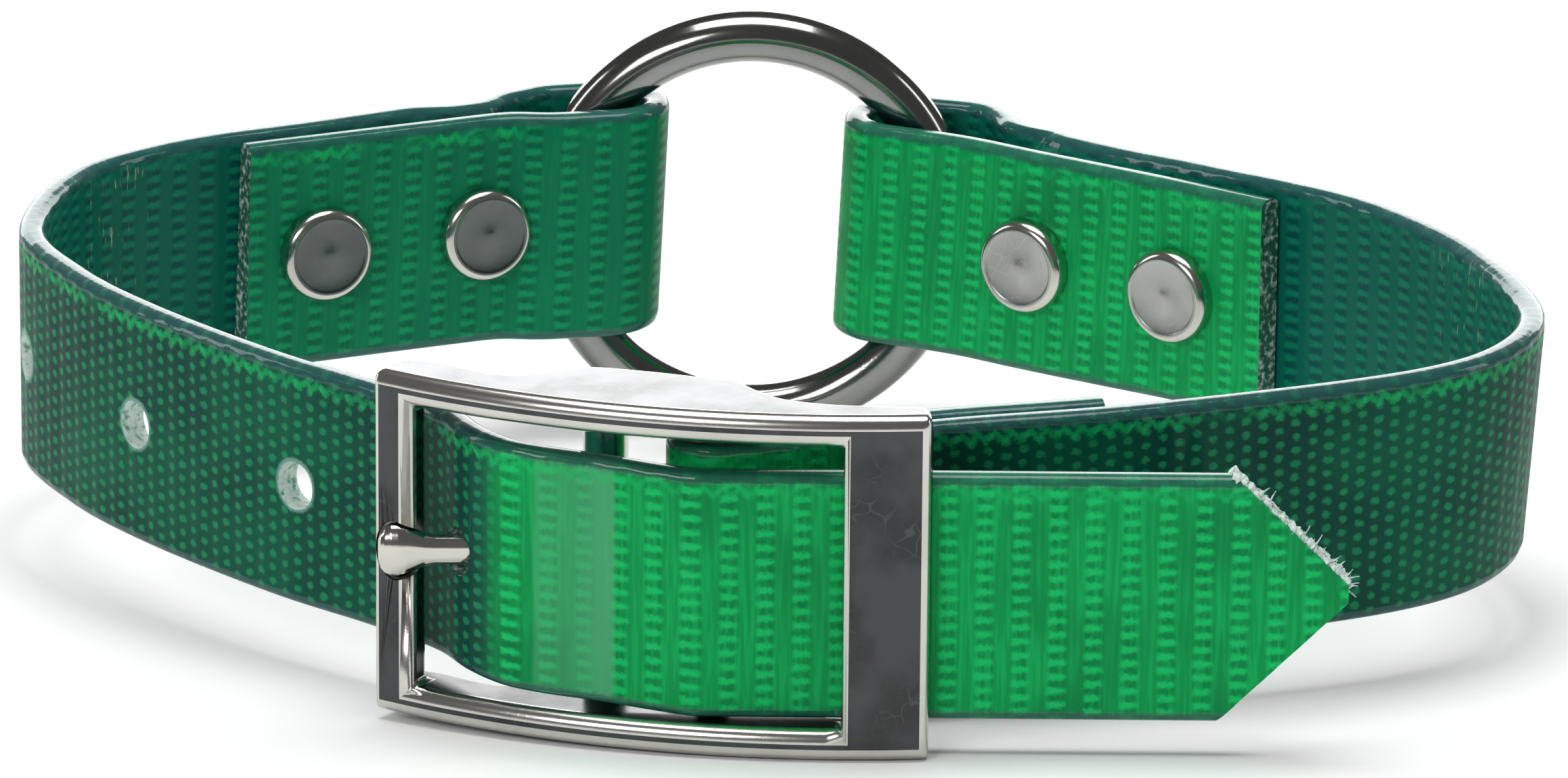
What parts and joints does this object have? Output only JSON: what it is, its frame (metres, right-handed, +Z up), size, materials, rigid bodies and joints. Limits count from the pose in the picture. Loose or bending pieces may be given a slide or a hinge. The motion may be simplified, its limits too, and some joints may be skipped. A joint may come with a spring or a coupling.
{
  "type": "dog collar",
  "caption": "Flat collar of glossy green coated webbing with a curved tongue buckle, a pointed free end and a lead ring held in two riveted folds.",
  "frame": {"origin": "bottom centre of the collar as it rests, on the surface it stands on", "axes": "+Z up, +X along the buckle towards the free end's point, +Y from the buckle to the lead ring"},
  "size_m": [0.123, 0.1074, 0.0374],
  "materials": {
    "coated_webbing": "glossy",
    "buckle_nickel": "polished",
    "ring_nickel": "polished",
    "rivet_nickel": "polished"
  },
  "bodies": {
    "collar": {"strap_long": "coated_webbing", "strap_short": "coated_webbing", "buckle_frame": "buckle_nickel", "tongue": "buckle_nickel", "rivet_ring_left_1": "rivet_nickel", "rivet_ring_left_2": "rivet_nickel", "rivet_ring_right_1": "rivet_nickel", "rivet_ring_right_2": "rivet_nickel", "rivet_buckle_1": "rivet_nickel", "rivet_buckle_2": "rivet_nickel"},
    "ring": {"o_ring": "ring_nickel"}
  },
  "joints": [
    {"name": "ring_turn", "type": "hinge", "parent": "collar", "child": "ring", "pos_m": [-0.00202, 0.04671, 0.01872], "axis": [0, 0.9983, 0.0586], "continuous": true}
  ]
}
